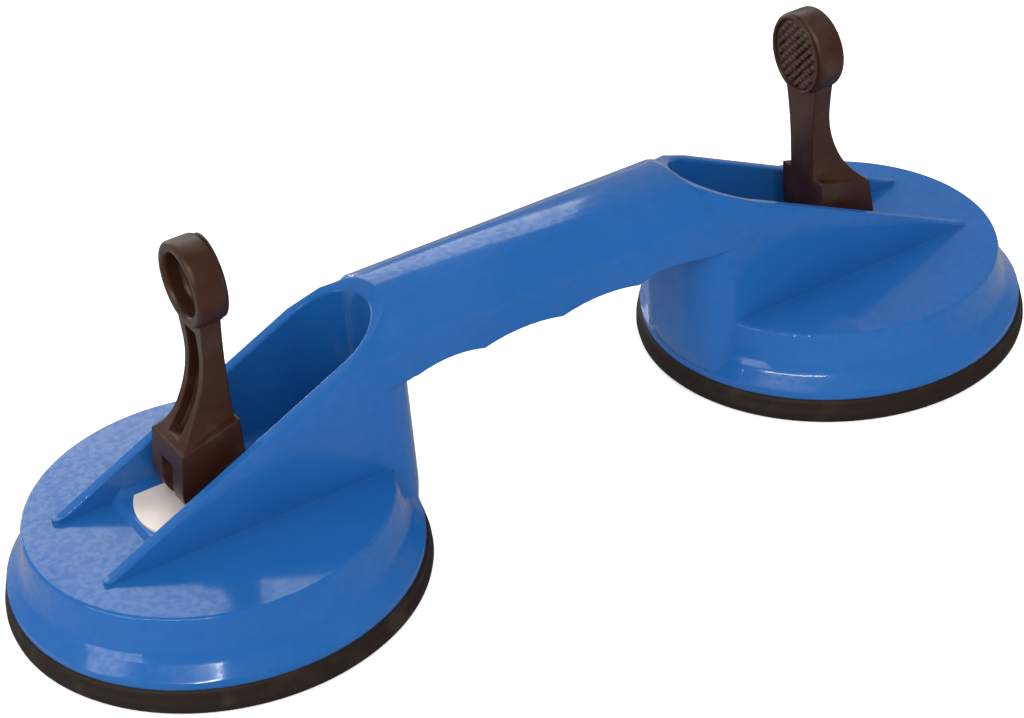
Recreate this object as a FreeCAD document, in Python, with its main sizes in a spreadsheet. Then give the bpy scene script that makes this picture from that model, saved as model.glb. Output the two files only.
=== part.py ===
"""Twin-cup suction lifter for floor tiles and glass, as a parametric FreeCAD document.

Frame: +X runs from the left cup to the right cup, +Z is up, and z = 0 is the flat underside of
both rubber pads. The origin lies midway between the cups. Lengths are millimetres.

One blue moulding joins two cup housings with a bridge grip. Each cup holds a rubber pad whose
steel core plate hangs on a sliding stem. A cam lever pinned to the stem stands upright when the
cup is free. Folded outwards over the cup, its cam rolls on a steel plate and lifts the stem.
Every left-hand piece is modelled about its own cup axis and moved out to that cup; its right-hand
twin is its mirror image, apart from the coil spring, which is wound the same way on both sides.
"""

import FreeCAD, Part
import math
import os

import Sketcher

os.makedirs("parts", exist_ok=True)

doc = FreeCAD.newDocument("SuctionLifter")

# --------------------------------------------------------------------------------------------
# Driving dimensions
# --------------------------------------------------------------------------------------------
# Each row is an alias, its value and what it measures. Heights are above the pads' underside.
# A "reach" is measured from the cup axis along X, positive towards the grip.

DIMENSIONS = [
    ("cup_spacing", 210.0, "distance between the two cup axes"),
    ("skin", 3.0, "general wall of the moulding"),
    # Cup housing
    ("seat_height", 7.7, "underside of the housing rim, on the pad's rim"),
    ("rim_radius", 57.5, "outside of the housing rim"),
    ("rim_band", 2.2, "height of the rim's upright band"),
    ("rim_step", 0.5, "break of the rim band's upper edge"),
    ("foot_radius", 54.9, "crease between the flared flange and the cup wall"),
    ("foot_height", 12.9, "height of that crease"),
    ("sweep_radius", 8.0, "concave sweep above the crease"),
    ("sweep_rise", 3.4, "height of the concave sweep"),
    ("crown_radius", 50.8, "edge of the flat crown"),
    ("crown_height", 25.7, "flat crown of the cup"),
    ("crown_round", 1.1, "rounding of the crown's edge"),
    ("wall_run", 1.9, "how far the cup wall leans out below the crown"),
    ("rib_count", 8.0, "stiffening ribs under the crown"),
    ("rib_start", 16.0, "inner end of those ribs, from the cup axis"),
    ("rib_gauge", 2.0, "thickness of those ribs"),
    ("rib_drop", 2.5, "how far they hang below the crown's inside"),
    # Sloping neck and lever well
    ("neck_half", 18.8, "half the width of the neck"),
    ("horn_reach", 38.7, "outer tips of the neck's two cheeks"),
    ("horn_rise", 1.2, "height of the cheeks' blunt tips above the crown"),
    ("crest_start", 39.8, "where the crest leaves the crown, outwards"),
    ("crest_drop", 1.1, "how far below the grip's top the crest's slope ends"),
    ("bend_lag", 0.3, "how far past the well's end it starts to level out"),
    ("crest_half", 18.3, "half width over the crest's outer edges"),
    ("crest_round", 0.9, "rounding of the well's rim"),
    ("crest_break", 0.7, "bevel along the crest's outer edges"),
    ("shoulder_drop", 10.8, "height of the eased shoulder below the top"),
    ("well_half", 14.7, "half width of the lever well at the crest"),
    ("leg_wall", 5.0, "wall between the well's far end and the leg's face"),
    ("well_round", 3.0, "fillet between the well's walls and floor"),
    ("platform_height", 27.2, "raised floor of the well, under the cam plate"),
    ("platform_edge", 20.6, "outer edge of the raised floor"),
    ("platform_ramp", 1.5, "run of the ramp down to the crown"),
    ("leg_reach", 58.5, "face of the leg towards the hand"),
    ("leg_round", 11.0, "upright corners of the leg"),
    ("leg_inset", 0.3, "how far the leg's foot stays inside the rim"),
    ("leg_scarf", 6.0, "height over which the leg's foot leans in to the rim"),
    # Grip
    ("grip_top", 70.7, "edges of the grip's arched top"),
    ("grip_arch", 1.7, "rise of the arched top above its edges"),
    ("grip_base", 50.9, "cusps between the finger grooves"),
    ("grip_half", 17.7, "half the width of the grip"),
    ("grip_crown", 10.0, "half the width of the grip's arched top"),
    ("level_run", 1.6, "each half of the bend where the crest levels out"),
    ("finger_pitch", 25.4, "spacing of the finger grooves"),
    ("finger_depth", 1.6, "depth of the finger grooves"),
    ("grip_web", 2.2, "thickness of the ribs inside the grip"),
    ("web_set_back", 1.5, "how far the ribs stay inside the lower edge"),
    # Rubber pad
    ("pad_radius", 59.0, "outside of the pad"),
    ("pad_rim_width", 7.0, "width of the pad's thick rim"),
    ("pad_edge", 0.7, "bevel of the pad's rim"),
    ("disc_gauge", 3.5, "thickness of the pad's thin disc"),
    ("pad_hub", 26.0, "radius of the pad's thick middle"),
    ("pad_hub_height", 5.5, "top of the thick middle"),
    ("lip_groove_radius", 50.0, "inner edge of the sealing lip's groove"),
    ("lip_groove_width", 1.6, "width of the sealing lip's groove"),
    ("lip_groove_depth", 0.8, "depth of the sealing lip's groove"),
    # Core plate, stem and nut
    ("core_radius", 24.0, "steel core plate"),
    ("core_gauge", 2.5, "thickness of the core plate"),
    ("core_edge", 0.6, "bevelled edge of the core plate"),
    ("boss_radius", 8.0, "tapped boss below the core plate"),
    ("boss_depth", 2.7, "depth of that boss"),
    ("boss_room", 0.3, "room round the boss in the rubber"),
    ("stem_radius", 3.0, "stem shank"),
    ("stem_end", 0.5, "chamfer at the stem's lower end"),
    ("eye_radius", 5.2, "eye at the top of the stem"),
    ("eye_gauge", 5.6, "thickness of the eye"),
    ("eye_root", 4.0, "how far below the pivot the shank runs into the eye"),
    ("nut_flats", 10.0, "jam nut across flats"),
    ("nut_gauge", 5.0, "height of the jam nut"),
    # Guide bush, spring and washer
    ("bush_radius", 5.5, "outside of the guide bush"),
    ("bush_flange_radius", 9.0, "flange of the guide bush"),
    ("bush_flange_gauge", 2.0, "thickness of that flange"),
    ("washer_radius", 12.5, "spring washer, outside"),
    ("washer_bore", 7.0, "spring washer, hole radius"),
    ("washer_gauge", 1.0, "thickness of the spring washer"),
    ("coil_radius", 10.2, "mean radius of the return spring"),
    ("wire_radius", 0.6, "radius of the spring wire"),
    ("coil_turns", 3.25, "turns of the return spring"),
    # Cam plate
    ("plate_gauge", 0.8, "thickness of the cam plate"),
    ("plate_radius", 20.0, "round ends of the cam plate"),
    ("plate_half", 11.5, "half width across the plate's flats"),
    ("plate_bore", 3.6, "radius of the hole for the stem"),
    # Lever. Places are measured from the pivot, outwards and upwards.
    ("pivot_rise", 5.0, "pivot above the cam plate with the lever upright"),
    ("face_offset", 10.8, "pivot to the block's outer face, square to it"),
    ("fold_angle", 98.0, "turn from upright to locked"),
    ("block_half", 9.3, "half the width of the block"),
    ("block_inner", 9.1, "inner face of the block"),
    ("block_top_outer", 15.5, "top of the block's outer face"),
    ("block_top_inner", 20.5, "top of the block's inner face"),
    ("heel_round", 4.0, "rounding under the block's inner face"),
    ("stalk_inner", 9.1, "inner face of the stalk"),
    ("stalk_outer", 3.2, "outer edge of the stalk at its narrowest, inwards of the pivot"),
    ("stalk_half", 5.3, "half the width of the stalk at its narrowest"),
    ("stalk_straight", 30.0, "height up to which the stalk stays at its narrowest"),
    ("stalk_top_half", 7.4, "half the width of the stalk where it meets the head"),
    ("stalk_swell", 8.0, "height over which the stalk widens into the block"),
    ("block_flare", 8.2, "how far out the stalk's foot reaches on the block's top"),
    ("stalk_waist", 42.0, "height of the stalk's narrowest place"),
    ("rib_width", 2.2, "width of the stalk's two edge ribs"),
    ("groove_rest", 1.5, "solid left at each end of the groove"),
    ("groove_depth", 3.0, "depth of the groove between them"),
    ("head_rise", 60.0, "middle of the head"),
    ("head_radius", 12.0, "round head"),
    ("head_inner", 10.4, "thumb face of the head"),
    ("head_outer", 1.9, "outer face of the head, inwards of the pivot"),
    ("pocket_radius", 8.7, "blind pocket in the head's outer face"),
    ("pocket_depth", 5.5, "depth of that pocket"),
    ("lever_round", 1.4, "rounded edges of the lever's head"),
    ("slot_room", 0.45, "room each side of the eye in the lever's slot"),
    ("slot_rise", 10.0, "top of the slot"),
    ("eye_room", 1.1, "room round the eye in the slot"),
    ("pin_radius", 2.5, "pivot pin"),
    ("pin_edge", 0.4, "chamfer at the pin's ends"),
    ("pin_inset", 0.2, "how far the pin's ends stay below the lever's sides"),
    # Fits
    ("running_fit", 0.06, "radial room of a sliding or turning fit"),
    ("press_room", 0.02, "radial room drawn round a pressed-in bush"),
    ("coil_room", 0.05, "room at each end of the spring"),
]

sizes = doc.addObject("Spreadsheet::Sheet", "Sizes")
for row, (alias, value, meaning) in enumerate(DIMENSIONS, start=1):
    sizes.set(f"A{row}", str(value))
    sizes.setAlias(f"A{row}", alias)
    sizes.set(f"B{row}", meaning)
doc.recompute()


def value_of(expression):
    """Number that an expression on the sheet gives, with the sheet's name left out of it."""
    return float(sizes.evalExpression(expression))


def on_sheet(expression):
    """The same expression as another object of the document writes it."""
    words = []
    word = ""
    for letter in expression + " ":
        if letter.isalnum() or letter == "_":
            word += letter
            continue
        words.append(f"Sizes.{word}" if word in ALIASES else word)
        words.append(letter)
        word = ""
    return "".join(words).strip()


ALIASES = {alias for alias, _, _ in DIMENSIONS}

# Sizes that follow from the driving ones, as expressions.
CROWN_INSIDE = "crown_height - skin"
PLATE_TOP = "platform_height + plate_gauge"
PIVOT_HEIGHT = "platform_height + plate_gauge + pivot_rise"
CORE_TOP = "pad_hub_height + core_gauge"
WASHER_TOP = "crown_height - skin - bush_flange_gauge"
WELL_END = "(leg_reach - leg_wall)"
CREST_END = "(leg_reach - leg_wall + bend_lag)"
CREST_RISE = "(grip_top - crest_drop)"
CREST_SLOPE = "((grip_top - crest_drop - crown_height) / (crest_start + leg_reach - leg_wall + bend_lag))"
STALK_TOP = "(platform_height + plate_gauge + pivot_rise + head_rise - pocket_radius - 0.4)"
SLOT_HALF = "eye_gauge / 2 + slot_room"
WELL_FOOT = "crown_height - 2 * skin"


# --------------------------------------------------------------------------------------------
# Document helpers
# --------------------------------------------------------------------------------------------

def bind(target, settings):
    """Bind properties of an object to expressions on the sheet."""
    for name, expression in settings.items():
        target.setExpression(name, on_sheet(expression))


def make_body(label):
    """An empty PartDesign body."""
    body = doc.addObject("PartDesign::Body", label)
    body.Label = label
    return body


def origin_feature(body, role):
    """Origin plane or axis of a body, found by its role."""
    return next(item for item in body.Origin.OriginFeatures if item.Role == role)


def make_sketch(body, role, outline, offset=None):
    """Sketch a closed outline on an origin plane of the body.

    Every corner of the outline is (across, up) or (across, up, radius): expressions of its two
    coordinates and of the arc that runs on to the next corner. A radius that starts with "-"
    bulges to the right of the way that the outline runs, any other one to the left.
    """
    sketch = body.newObject("Sketcher::SketchObject", f"{body.Label}_sketch")
    sketch.AttachmentSupport = [(origin_feature(body, role), "")]
    sketch.MapMode = "FlatFace"
    if offset is not None:
        bind(sketch, {"AttachmentOffset.Base.z": offset})
    add_outline(sketch, outline)
    return sketch


def add_outline(sketch, outline):
    """Draw one closed outline in a sketch and bind each corner to the sheet."""
    corners = [FreeCAD.Vector(value_of(c[0]), value_of(c[1]), 0) for c in outline]
    first = sketch.GeometryCount
    starts = []
    ends = []
    for index, corner in enumerate(outline):
        begin = corners[index]
        finish = corners[(index + 1) % len(corners)]
        if len(corner) == 2:
            sketch.addGeometry(Part.LineSegment(begin, finish), False)
            starts.append(1)
            ends.append(2)
            continue
        left = not corner[2].startswith("-")
        radius = value_of(corner[2].lstrip("-"))
        sketch.addGeometry(arc_between(begin, finish, radius, left), False)
        starts.append(2 if left else 1)
        ends.append(1 if left else 2)
    for index, corner in enumerate(outline):
        here = first + index
        after = first + (index + 1) % len(outline)
        sketch.addConstraint(Sketcher.Constraint(
            "Coincident", here, ends[index], after, starts[(index + 1) % len(outline)]))
        for kind, expression, size in (("DistanceX", corner[0], corners[index].x),
                                       ("DistanceY", corner[1], corners[index].y)):
            number = sketch.addConstraint(
                Sketcher.Constraint(kind, -1, 1, here, starts[index], size))
            sketch.setExpression(f"Constraints[{number}]", on_sheet(expression))
        if len(corner) == 3:
            number = sketch.addConstraint(Sketcher.Constraint(
                "Radius", here, value_of(corner[2].lstrip("-"))))
            sketch.setExpression(f"Constraints[{number}]", on_sheet(corner[2].lstrip("-")))


def arc_between(begin, finish, radius, left):
    """Shorter arc of a given radius between two points, bulging left or right of its way."""
    chord = finish - begin
    middle = (begin + finish) * 0.5
    normal = FreeCAD.Vector(-chord.y, chord.x, 0).normalize()
    if not left:
        normal = -normal
    reach = math.sqrt(max(radius ** 2 - (chord.Length / 2) ** 2, 0.0))
    centre = middle - normal * reach
    low, high = (finish, begin) if left else (begin, finish)
    turn = [math.atan2(point.y - centre.y, point.x - centre.x) for point in (low, high)]
    return Part.ArcOfCircle(
        Part.Circle(centre, FreeCAD.Vector(0, 0, 1), radius), turn[0], turn[1])


def make_circle(body, role, radius, across="0", up="0", offset=None):
    """Sketch a circle whose centre and radius are bound to the sheet."""
    sketch = body.newObject("Sketcher::SketchObject", f"{body.Label}_circle")
    sketch.AttachmentSupport = [(origin_feature(body, role), "")]
    sketch.MapMode = "FlatFace"
    if offset is not None:
        bind(sketch, {"AttachmentOffset.Base.z": offset})
    centre = FreeCAD.Vector(value_of(across), value_of(up), 0)
    sketch.addGeometry(
        Part.Circle(centre, FreeCAD.Vector(0, 0, 1), value_of(radius)), False)
    for kind, expression, size in (("DistanceX", across, centre.x), ("DistanceY", up, centre.y)):
        number = sketch.addConstraint(Sketcher.Constraint(kind, -1, 1, 0, 3, size))
        sketch.setExpression(f"Constraints[{number}]", on_sheet(expression))
    number = sketch.addConstraint(Sketcher.Constraint("Radius", 0, value_of(radius)))
    sketch.setExpression(f"Constraints[{number}]", on_sheet(radius))
    return sketch


def extrude(body, sketch, length, midplane=False, cut=False, backwards=False):
    """Pad or pocket a sketch by a length from the sheet, and see that a pocket cut something."""
    before = body.Shape.Volume if cut else 0.0
    kind = "PartDesign::Pocket" if cut else "PartDesign::Pad"
    feature = body.newObject(kind, f"{body.Label}_{'pocket' if cut else 'pad'}")
    feature.Profile = sketch
    feature.Midplane = midplane
    feature.Reversed = backwards
    bind(feature, {"Length": length})
    doc.recompute()
    if cut and feature.Shape.Volume > before - 1e-3:
        raise RuntimeError(f"{feature.Name} in {body.Label} cut nothing")
    return feature


def spin(body, sketch, cut=False):
    """Revolve a sketch about the body's upright axis."""
    kind = "PartDesign::Groove" if cut else "PartDesign::Revolution"
    feature = body.newObject(kind, f"{body.Label}_turned")
    feature.Profile = sketch
    feature.ReferenceAxis = (origin_feature(body, "Z_Axis"), [""])
    feature.Angle = 360.0
    doc.recompute()
    return feature


def combine(kind, label, shapes):
    """Boolean of document objects: Cut takes the second from the first."""
    feature = doc.addObject(f"Part::{kind}", label)
    feature.Label = label
    if kind == "Cut":
        feature.Base, feature.Tool = shapes
    else:
        feature.Shapes = shapes
    feature.Refine = True
    doc.recompute()
    return feature


def round_edges(label, base, radius, chosen):
    """Fillet the edges of an object that a test picks out, with a radius from the sheet."""
    numbers = [n for n, edge in enumerate(base.Shape.Edges, start=1) if chosen(edge)]
    feature = doc.addObject("Part::Fillet", label)
    feature.Label = label
    feature.Base = base
    size = value_of(radius)
    feature.Edges = [(number, size, size) for number in numbers]
    doc.recompute()
    return feature


def break_rims(body, kind, setting, size, along):
    """Fillet or chamfer the flat rims of a body whose axis runs along X or Y."""
    solid = body.Tip
    rims = [f"Edge{n}" for n, edge in enumerate(solid.Shape.Edges, start=1)
            if getattr(edge.BoundBox, along) < 1e-4]
    feature = body.newObject(kind, f"{body.Label}_rims")
    feature.Base = (solid, rims)
    bind(feature, {setting: size})
    doc.recompute()
    return body


def at_left_cup(feature):
    """Carry a piece from the origin out to the left cup's axis."""
    bind(feature, {"Placement.Base.x": "-cup_spacing / 2"})


def mirrored(feature, label):
    """Mirror image of a piece across the middle of the grip."""
    twin = doc.addObject("Part::Mirroring", label)
    twin.Label = label
    twin.Source = feature
    twin.Normal = FreeCAD.Vector(1, 0, 0)
    twin.Base = FreeCAD.Vector(0, 0, 0)
    doc.recompute()
    return twin


# --------------------------------------------------------------------------------------------
# Handle moulding
# --------------------------------------------------------------------------------------------

def cup_outline(inset):
    """Half section of the cup housing, from its axis out to the rim and back along the crown.

    With an inset of "0" it is the outside; with "skin" it is the hollow under the crown.
    """
    open_below = "1" if inset != "0" else "0"
    return [
        ("0", f"seat_height - {open_below}"),
        (f"rim_radius - {inset}", f"seat_height - {open_below}"),
        (f"rim_radius - {inset}", f"seat_height + rim_band - {inset} / 4"),
        (f"rim_radius - rim_step - {inset}", f"seat_height + rim_band + rim_step - {inset} / 4"),
        (f"foot_radius - {inset}", f"foot_height - {inset} / 4", "sweep_radius"),
        (f"crown_radius + wall_run - {inset}", f"foot_height + sweep_rise - {inset} / 4"),
        (f"crown_radius + crown_round / 4 - {inset}", f"crown_height - crown_round - {inset}",
         "-crown_round"),
        (f"crown_radius - crown_round * 3 / 4 - {inset}", f"crown_height - {inset}"),
        ("0", f"crown_height - {inset}"),
    ]


def neck_section(half, crown, top, bevel, arch=None):
    """Cross-section of the neck or grip, looking along X: upright sides and eased shoulders.

    The top is flat, or arched where the rise of an arch is given.
    """
    drop = f"(shoulder_drop - {bevel})"
    ease = f"((({half}) - ({crown}))^2 + {drop}^2) / (2 * (({half}) - ({crown})))"
    bow = ()
    if arch:
        bow = (f"-(({crown} - {bevel})^2 + ({arch})^2) / (2 * ({arch}))",)
    return [
        (f"-({half})", "seat_height"),
        (f"{half}", "seat_height"),
        (f"{half}", f"{top} - shoulder_drop", f"-{ease}"),
        (f"{crown}", f"{top} - {bevel}"),
        (f"{crown} - {bevel}", f"{top}", *bow),
        (f"-({crown}) + {bevel}", f"{top}"),
        (f"-({crown})", f"{top} - {bevel}", f"-{ease}"),
        (f"-({half})", f"{top} - shoulder_drop"),
    ]


def neck_blank():
    """Solid neck and half grip, lofted through cross-sections from the horns to mid grip."""
    body = make_body("neck_blank")
    bend = f"({WELL_END} - well_half)"
    stations = [
        ("-horn_reach", "neck_half", "crest_half", "crown_height + horn_rise", "crest_break"),
        (f"-crest_start + horn_rise * 4 / 3 / {CREST_SLOPE}", "neck_half", "crest_half",
         "crown_height + horn_rise * 4 / 3", "crest_break"),
    ]
    for turned in (0, 30, 45):
        reach = f"({bend} + crest_half * sin({turned}deg))"
        stations.append((reach, "neck_half", f"(crest_half * cos({turned}deg))",
                         f"crown_height + ({reach} + crest_start) * {CREST_SLOPE}", "crest_break"))
    stations += [
        (CREST_END, "(neck_half + grip_half) / 2", "grip_crown + 1", CREST_RISE, "crest_break / 2"),
        (f"{CREST_END} + level_run", "(neck_half + grip_half) / 2", "grip_crown + 0.5",
         "grip_top - crest_drop / 4", "crest_break / 4", "grip_arch / 2"),
        (f"{CREST_END} + 2 * level_run", "grip_half", "grip_crown", "grip_top",
         "crest_break / 8", "grip_arch"),
        ("cup_spacing / 2", "grip_half", "grip_crown", "grip_top", "crest_break / 8", "grip_arch"),
    ]
    sections = [
        make_sketch(body, "YZ_Plane", neck_section(*shape), offset=reach)
        for reach, *shape in stations
    ]
    loft = body.newObject("PartDesign::AdditiveLoft", "neck_loft")
    loft.Profile = sections[0]
    loft.Sections = sections[1:]
    loft.Ruled = True
    doc.recompute()
    grooves = make_sketch(body, "XZ_Plane", [
        ("leg_reach", "0"),
        ("leg_reach", "grip_base", "((cup_spacing / 2 - finger_pitch - leg_reach)^2 / 4"
                                   " + finger_depth^2) / (2 * finger_depth)"),
        ("cup_spacing / 2 - finger_pitch", "grip_base",
         "(finger_pitch^2 / 4 + finger_depth^2) / (2 * finger_depth)"),
        ("cup_spacing / 2", "grip_base"),
        ("cup_spacing / 2 + 1", "grip_base"),
        ("cup_spacing / 2 + 1", "0"),
    ])
    extrude(body, grooves, "4 * neck_half", midplane=True, cut=True)
    nose = "((neck_half - well_half) / 2)"
    for side in ("", "-"):
        corner = make_sketch(body, "XY_Plane", [
            ("leg_reach - leg_round", f"{side}neck_half", f"{side}leg_round"),
            ("leg_reach", f"{side}(neck_half - leg_round)"),
            ("leg_reach + 1", f"{side}(neck_half - leg_round)"),
            ("leg_reach + 1", f"{side}(neck_half + 1)"),
            ("leg_reach - leg_round", f"{side}(neck_half + 1)"),
        ])
        extrude(body, corner, "grip_base", cut=True, backwards=True)
        tip = make_sketch(body, "XY_Plane", [
            (f"-horn_reach + {nose}", f"{side}well_half", f"{side}{nose}"),
            ("-horn_reach", f"{side}(well_half + {nose})", f"{side}{nose}"),
            (f"-horn_reach + {nose}", f"{side}neck_half"),
            (f"-horn_reach + {nose}", f"{side}(neck_half + 1)"),
            ("-horn_reach - 1", f"{side}(neck_half + 1)"),
            ("-horn_reach - 1", f"{side}(well_half - 1)"),
            (f"-horn_reach + {nose}", f"{side}(well_half - 1)"),
        ])
        extrude(body, tip, "grip_base", cut=True, backwards=True)
    rim = "rim_radius - leg_inset"
    spin(body, make_sketch(body, "XZ_Plane", [
        (rim, "0"),
        (rim, "seat_height + rim_band"),
        ("leg_reach + leg_inset", "seat_height + rim_band + leg_scarf"),
        ("cup_spacing", "seat_height + rim_band + leg_scarf"),
        ("cup_spacing", "0"),
    ]), cut=True)
    return body


def cup_hollow():
    """Hollow under the crown, with the stiffening ribs already taken out of it."""
    body = make_body("cup_hollow")
    spin(body, make_sketch(body, "XZ_Plane", cup_outline("skin")))
    rib = make_sketch(body, "XY_Plane", [
        ("rib_start", "-rib_gauge / 2"),
        ("rim_radius", "-rib_gauge / 2"),
        ("rim_radius", "rib_gauge / 2"),
        ("rib_start", "rib_gauge / 2"),
    ], offset=CROWN_INSIDE)
    cut = extrude(body, rib, "rib_drop", cut=True)
    pattern = body.newObject("PartDesign::PolarPattern", "rib_pattern")
    pattern.Originals = [cut]
    pattern.Axis = (origin_feature(body, "Z_Axis"), [""])
    pattern.Angle = 360.0
    bind(pattern, {"Occurrences": "rib_count"})
    body.Tip = pattern
    doc.recompute()
    return body


def well_shaft(label, floor, height):
    """Upright prism on the U-shaped plan of the lever well, open past the horns."""
    body = make_body(label)
    plan = make_sketch(body, "XY_Plane", [
        ("-horn_reach", "-well_half"),
        (f"{WELL_END} - well_half", "-well_half", "-well_half"),
        (WELL_END, "0", "-well_half"),
        (f"{WELL_END} - well_half", "well_half"),
        ("-horn_reach", "well_half"),
    ], offset=floor)
    extrude(body, plan, height)
    return body


def well_floor():
    """Raised floor of the well: flat under the cam plate, with a ramp and filleted walls."""
    tool = well_shaft("well_tool", "crown_height", "grip_top")
    profile = make_sketch(tool, "XZ_Plane", [
        ("-platform_edge - platform_ramp", "crown_height"),
        ("-platform_edge", "platform_height"),
        (f"{WELL_END} + 1", "platform_height"),
        (f"{WELL_END} + 1", "crown_height - 1"),
        ("-platform_edge - platform_ramp", "crown_height - 1"),
    ])
    extrude(tool, profile, "4 * well_half", midplane=True, cut=True)
    floor_height = value_of("platform_height")

    def at_floor(edge):
        box = edge.BoundBox
        on_floor = abs(box.ZMin - floor_height) < 1e-4 and box.ZLength < 1e-4
        return on_floor and box.XLength > value_of("well_half") / 2

    rounded = round_edges("rounded_well_tool", tool, "well_round", at_floor)
    block = well_shaft("floor_block", WELL_FOOT, f"platform_height + well_round - ({WELL_FOOT})")
    return combine("Cut", "well_floor", [block, rounded])


def grip_hollow():
    """Hollow of the half grip, open below, with its cross ribs already taken out of it."""
    body = make_body("grip_hollow")
    half = "grip_half - skin"
    crown = "(grip_crown - skin)"
    drop = "(shoulder_drop - skin)"
    ease = f"((({half}) - {crown})^2 + {drop}^2) / (2 * (({half}) - {crown}))"
    section = make_sketch(body, "YZ_Plane", [
        (f"-({half})", "grip_base - skin"),
        (f"{half}", "grip_base - skin"),
        (f"{half}", "grip_top - shoulder_drop", f"-{ease}"),
        (crown, "grip_top - skin"),
        (f"-{crown}", "grip_top - skin", f"-{ease}"),
        (f"-({half})", "grip_top - shoulder_drop"),
    ], offset="leg_reach")
    extrude(body, section, "cup_spacing / 2 - leg_reach + 1")
    for web in range(2):
        middle = f"cup_spacing / 2 - {web} * finger_pitch"
        strip = make_sketch(body, "XZ_Plane", [
            (f"{middle} - grip_web / 2", "grip_base + web_set_back"),
            (f"{middle} + grip_web / 2", "grip_base + web_set_back"),
            (f"{middle} + grip_web / 2", "grip_top"),
            (f"{middle} - grip_web / 2", "grip_top"),
        ])
        extrude(body, strip, "4 * grip_half", midplane=True, cut=True)
    return body


def bush_hole():
    """Hole through the crown for the guide bush."""
    body = make_body("bush_hole")
    circle = make_circle(body, "XY_Plane", "bush_radius + press_room", offset="seat_height")
    extrude(body, circle, "crown_height")
    return body


def neck():
    """Sloping neck with the well cut through it and the well's rim rounded."""
    shaft = well_shaft("well_shaft", WELL_FOOT, "grip_top")
    cheeks = combine("Cut", "cheeks", [neck_blank(), shaft])
    half = value_of("well_half")
    bend = value_of(f"{WELL_END} - well_half")

    def on_rim(edge):
        middle = edge.valueAt((edge.FirstParameter + edge.LastParameter) / 2)
        across = abs(middle.y) if middle.x < bend else math.hypot(middle.x - bend, middle.y)
        level = edge.BoundBox.XLength < 0.1 or edge.BoundBox.ZMax < value_of("grip_base")
        return abs(across - half) < 1e-3 and not level

    return round_edges("rounded_cheeks", cheeks, "crest_round", on_rim)


def handle_moulding():
    """The one-piece moulding: half of it with its well, hollows and bores, and its mirror."""
    cup = make_body("cup_blank")
    spin(cup, make_sketch(cup, "XZ_Plane", cup_outline("0")))
    solid = combine("MultiFuse", "half_blank", [cup, neck(), well_floor()])
    hollows = combine("MultiFuse", "hollows", [cup_hollow(), grip_hollow(), bush_hole()])
    half = combine("Cut", "half_handle", [solid, hollows])
    at_left_cup(half)
    return combine("MultiFuse", "handle_body", [half, mirrored(half, "other_half")])


# --------------------------------------------------------------------------------------------
# Pad, core plate, stem and nut
# --------------------------------------------------------------------------------------------

def suction_pad():
    """Rubber pad: thick rim under the housing, thin disc, thick middle bonded to the core."""
    body = make_body("left_suction_pad")
    rim_inside = "pad_radius - pad_rim_width"
    recess = "boss_radius + boss_room"
    recess_floor = "pad_hub_height - boss_depth - boss_room"
    spin(body, make_sketch(body, "XZ_Plane", [
        ("0", "0"),
        ("lip_groove_radius", "0"),
        ("lip_groove_radius", "lip_groove_depth"),
        ("lip_groove_radius + lip_groove_width", "lip_groove_depth"),
        ("lip_groove_radius + lip_groove_width", "0"),
        ("pad_radius - pad_edge", "0"),
        ("pad_radius", "pad_edge"),
        ("pad_radius", "seat_height - pad_edge"),
        ("pad_radius - pad_edge", "seat_height"),
        (rim_inside, "seat_height"),
        (f"{rim_inside} - pad_edge", "disc_gauge"),
        ("pad_hub + pad_edge", "disc_gauge"),
        ("pad_hub", "pad_hub_height"),
        (recess, "pad_hub_height"),
        (recess, recess_floor),
        ("0", recess_floor),
    ]))
    return body


def core_plate():
    """Steel disc bonded to the pad's middle, with a tapped boss sunk in the rubber."""
    body = make_body("left_core_plate")
    spin(body, make_sketch(body, "XZ_Plane", [
        ("stem_radius", "pad_hub_height - boss_depth"),
        ("boss_radius", "pad_hub_height - boss_depth"),
        ("boss_radius", "pad_hub_height"),
        ("core_radius", "pad_hub_height"),
        ("core_radius", f"{CORE_TOP} - core_edge"),
        ("core_radius - core_edge", CORE_TOP),
        ("stem_radius", CORE_TOP),
    ]))
    return body


def lift_stem():
    """Steel stem: a shank through core plate, nut and bush, ending in a flat eye."""
    body = make_body("left_lift_stem")
    foot = "pad_hub_height - boss_depth"
    spin(body, make_sketch(body, "XZ_Plane", [
        ("0", foot),
        ("stem_radius - stem_end", foot),
        ("stem_radius", f"{foot} + stem_end"),
        ("stem_radius", f"{PIVOT_HEIGHT} - eye_root"),
        ("0", f"{PIVOT_HEIGHT} - eye_root"),
    ]))
    eye = make_circle(body, "XZ_Plane", "eye_radius", up=PIVOT_HEIGHT)
    extrude(body, eye, "eye_gauge", midplane=True)
    bore = make_circle(body, "XZ_Plane", "pin_radius + running_fit", up=PIVOT_HEIGHT)
    extrude(body, bore, "4 * eye_gauge", midplane=True, cut=True)
    return body


def jam_nut():
    """Thin hexagon nut that locks the stem in the core plate."""
    body = make_body("left_jam_nut")
    corner = "nut_flats / 2 / cos(30deg)"
    hexagon = [
        (f"{corner} * cos({60 * side} * 1deg)", f"{corner} * sin({60 * side} * 1deg)")
        for side in range(6)
    ]
    extrude(body, make_sketch(body, "XY_Plane", hexagon, offset=CORE_TOP), "nut_gauge")
    bore = make_circle(body, "XY_Plane", "stem_radius", offset=CORE_TOP)
    extrude(body, bore, "nut_gauge", cut=True, backwards=True)
    top = f"{CORE_TOP} + nut_gauge"
    spin(body, make_sketch(body, "XZ_Plane", [
        ("nut_flats / 2 * 0.95", f"{top}"),
        (f"{corner} * 1.05", f"{top} - ({corner} * 1.05 - nut_flats / 2 * 0.95) * tan(30deg)"),
        (f"{corner} * 1.05", f"{top}"),
    ]), cut=True)
    return body


# --------------------------------------------------------------------------------------------
# Guide bush, washer, spring and cam plate
# --------------------------------------------------------------------------------------------

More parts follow.
